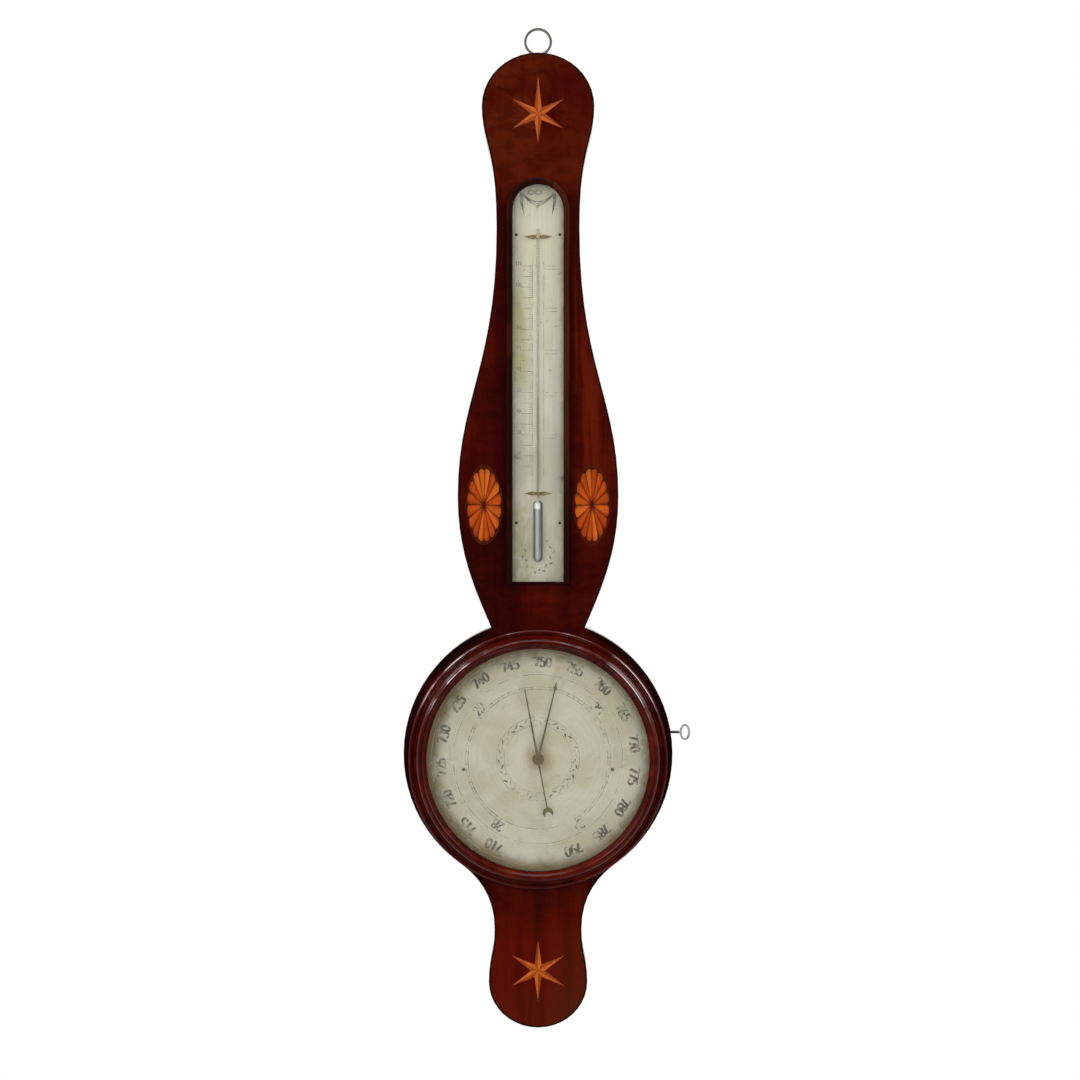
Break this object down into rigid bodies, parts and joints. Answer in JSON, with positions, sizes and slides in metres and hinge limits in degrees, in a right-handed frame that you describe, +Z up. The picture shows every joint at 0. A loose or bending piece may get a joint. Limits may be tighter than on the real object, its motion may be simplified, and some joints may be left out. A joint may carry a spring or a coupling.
{
  "type": "banjo barometer",
  "caption": "Wall barometer with a banjo-shaped inlaid mahogany case, a boxed thermometer and a large glazed round dial with an indicator hand and a set hand.",
  "frame": {"origin": "centre of the hanging ring, on the wall plane", "axes": "+Z up, -Y is the front that faces the room, +X is the right seen from the front"},
  "size_m": [0.2626, 0.058, 0.923],
  "materials": {
    "mahogany": "polished",
    "mahogany_veneer": "polished",
    "satinwood": "polished",
    "shaded_satinwood": "polished",
    "fan_wood": "polished",
    "ebonised_wood": "satin",
    "pine": "plain",
    "glass": "clear",
    "silvered_brass": "silvered, aged",
    "steel": "polished",
    "brass": "lacquered",
    "hand_metal": "darkened",
    "mercury": "liquid",
    "iron": "dark",
    "silk": "twisted"
  },
  "bodies": {
    "case": {"case_carcase": "mahogany", "front_veneer": "mahogany_veneer", "star_light_rays": "satinwood", "star_shaded_rays": "shaded_satinwood", "fan_grounds": "fan_wood", "fan_petals": "satinwood", "bezel": "mahogany", "bezel_glass": "glass", "dial_spacer": "ebonised_wood", "dial_plate": "silvered_brass", "dial_screws": "steel", "centre_bush": "brass", "movement_pillars": "brass", "movement_plate": "brass", "movement_screws": "steel", "cock_pillars": "brass", "pulley_cock": "brass", "cock_screws": "steel", "worm_bracket": "brass", "side_bush": "brass", "siphon_tube": "glass", "siphon_mercury": "mercury", "counter_tube": "glass", "tube_straps": "brass", "strap_screws": "steel", "thermo_frame": "ebonised_wood", "thermo_glass": "glass", "thermo_plate": "silvered_brass", "thermo_tube": "glass", "thermo_mercury": "mercury", "thermo_clips": "brass", "thermo_screws": "steel", "hanging_plate": "iron", "hanger_screws": "steel", "hinge_case_leaves": "brass", "hinge_pins": "steel", "hinge_case_screws": "steel", "channel_covers": "pine", "cover_screws": "steel", "button_screw": "steel"},
    "indicator": {"indicator_hand": "hand_metal", "hand_cap": "brass", "hand_arbor": "steel", "pulley": "brass"},
    "float": {"glass_float": "glass", "float_thread": "silk", "float_mercury": "mercury"},
    "counter": {"counterweight": "glass", "counter_thread": "silk", "top_mercury": "mercury"},
    "set_train": {"set_hand": "hand_metal", "set_pipe": "brass", "set_wheel": "brass"},
    "key_drive": {"worm_arbor": "steel", "worm": "brass"},
    "key": {"setting_key": "steel"},
    "door": {"back_door": "pine", "hinge_door_leaves": "brass", "hinge_door_screws": "steel"},
    "button": {"turn_button": "brass"}
  },
  "joints": [
    {"name": "indicator_turn", "type": "hinge", "parent": "case", "child": "indicator", "pos_m": [0, -0.03, -0.6645], "axis": [0, 1, 0], "range_deg": [-138.3, 159.7]},
    {"name": "float_slide", "type": "slide", "parent": "case", "child": "float", "axis": [0, 0, 1], "range_m": [-0.0206, 0.0178], "deforming": ["float_thread", "float_mercury"]},
    {"name": "counter_slide", "type": "slide", "parent": "case", "child": "counter", "axis": [0, 0, 1], "range_m": [-0.0178, 0.0206], "deforming": ["counter_thread", "top_mercury"]},
    {"name": "set_hand_turn", "type": "hinge", "parent": "case", "child": "set_train", "pos_m": [0, -0.04, -0.6645], "axis": [0, 1, 0], "continuous": true},
    {"name": "key_turn", "type": "hinge", "parent": "case", "child": "key_drive", "pos_m": [0, -0.035, -0.6402], "axis": [1, 0, 0], "continuous": true},
    {"name": "key_pull", "type": "slide", "parent": "key_drive", "child": "key", "axis": [1, 0, 0], "range_m": [0, 0.012]},
    {"name": "door_hinge", "type": "hinge", "parent": "case", "child": "door", "pos_m": [-0.0816, -0.0016, -0.6645], "axis": [0, 0, 1], "range_deg": [0, 95]},
    {"name": "button_turn", "type": "hinge", "parent": "case", "child": "button", "pos_m": [0.115, -0.0018, -0.6595], "axis": [0, -1, 0], "range_deg": [0, 90]}
  ],
  "couplings": [
    {"joint": "float_slide", "follows": "indicator_turn", "m_per_rad": -0.00735},
    {"joint": "counter_slide", "follows": "indicator_turn", "m_per_rad": 0.00735},
    {"joint": "set_hand_turn", "follows": "key_turn", "ratio": -0.027778}
  ]
}
